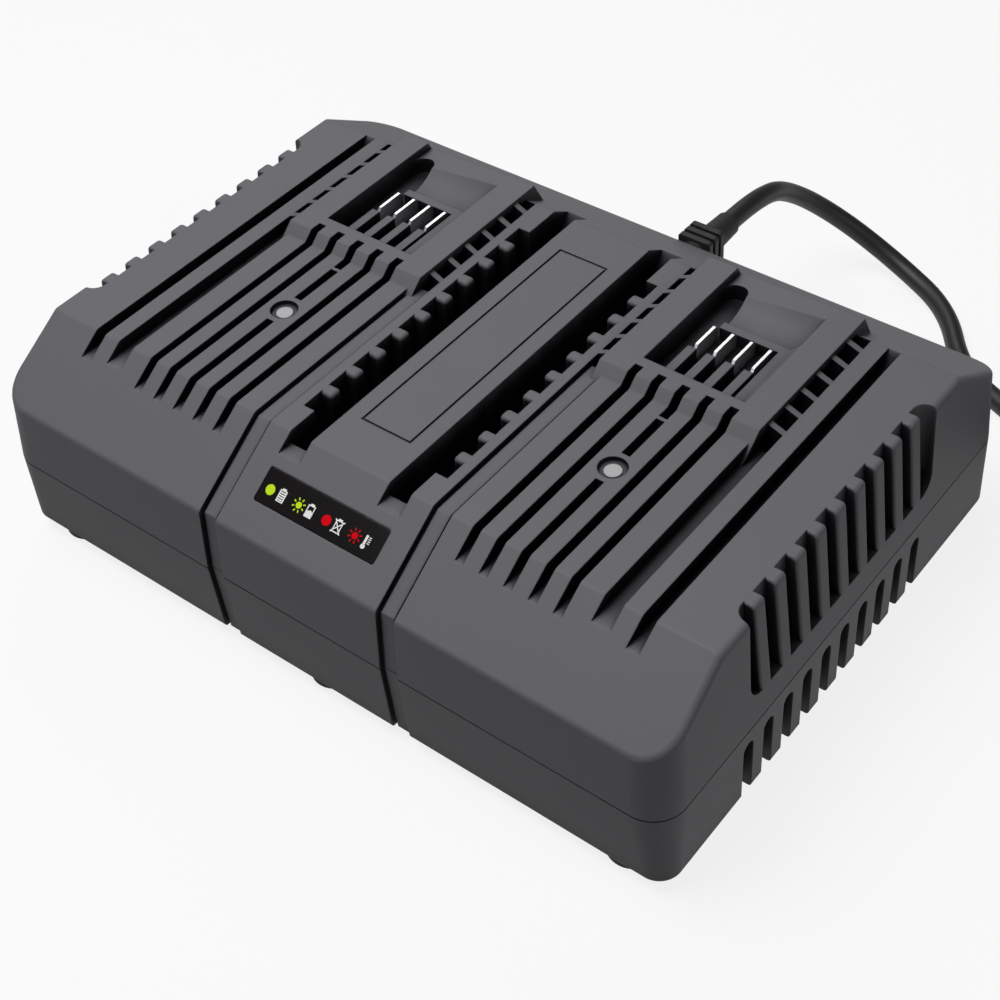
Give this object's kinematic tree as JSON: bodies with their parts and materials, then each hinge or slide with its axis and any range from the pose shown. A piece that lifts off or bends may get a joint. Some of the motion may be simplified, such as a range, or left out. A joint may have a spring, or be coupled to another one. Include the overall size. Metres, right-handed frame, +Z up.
{
  "type": "power tool battery charger",
  "caption": "Two-bay charger for slide-on power tool packs, with rails, contact towers, a display window, rubber feet and a mains lead.",
  "frame": {"origin": "centre of the case's footprint on the surface the rubber feet stand on", "axes": "+Z up, -Y towards the display slope at the front, +Y towards the mains lead at the rear, +X to the right-hand bay"},
  "size_m": [0.3759, 0.3113, 0.076],
  "materials": {
    "cover_plastic": "fine moulded texture, mid grey",
    "case_plastic": "fine moulded texture, mid grey",
    "window_black": "gloss black lens with printed symbols",
    "clear_plastic": "frosted clear",
    "board_green": "solder mask on glass-epoxy",
    "lamp_lens": "moulded lamp",
    "pale_lens": "frosted pale grey",
    "block_plastic": "glass-filled moulding",
    "plated_metal": "tin or nickel plated",
    "screw_steel": "zinc plated",
    "ferrite": "ground ferrite",
    "winding_tape": "polyester tape over the winding",
    "copper": "enamelled copper wire",
    "can_sleeve": "sleeved aluminium can",
    "box_yellow": "film capacitor box",
    "package_black": "moulded package",
    "fuse_glass": "glass tube",
    "sink_aluminium": "extruded",
    "lead_jacket": "wire insulation",
    "cord_rubber": "moulded boot",
    "cord_jacket": "smooth cord jacket",
    "foot_rubber": "matt rubber"
  },
  "bodies": {
    "root": {"top_cover": "cover_plastic", "bottom_case": "case_plastic", "display_window": "window_black", "display_light_guide": "clear_plastic", "display_board": "board_green", "display_lamps": "lamp_lens", "bay_light_pipe_left": "pale_lens", "bay_light_pipe_right": "pale_lens", "bay_lamps": "lamp_lens", "terminal_block_left": "block_plastic", "terminal_block_right": "block_plastic", "terminal_blades_left": "plated_metal", "terminal_blades_right": "plated_metal", "terminal_screws": "screw_steel", "display_screws": "screw_steel", "case_screws": "screw_steel", "board_screws": "screw_steel", "clamp_screws": "screw_steel", "main_board": "board_green", "transformer_core": "ferrite", "input_choke_core": "ferrite", "transformer_bobbin": "block_plastic", "transformer_winding": "winding_tape", "input_choke_winding": "copper", "bulk_capacitors": "can_sleeve", "output_capacitors": "can_sleeve", "filter_capacitor": "box_yellow", "bridge_rectifier": "package_black", "power_transistors": "package_black", "fuse": "fuse_glass", "fuse_clips": "plated_metal", "heat_sink_left": "sink_aluminium", "heat_sink_right": "sink_aluminium", "output_leads_left": "lead_jacket", "output_leads_right": "lead_jacket", "mains_wires": "lead_jacket", "strain_relief": "cord_rubber", "mains_lead_inner": "cord_jacket", "mains_lead": "cord_jacket", "cord_coil": "cord_jacket", "cord_clamp": "block_plastic", "plug_body": "cord_rubber", "plug_pins": "plated_metal", "rubber_feet": "foot_rubber"}
  },
  "joints": []
}
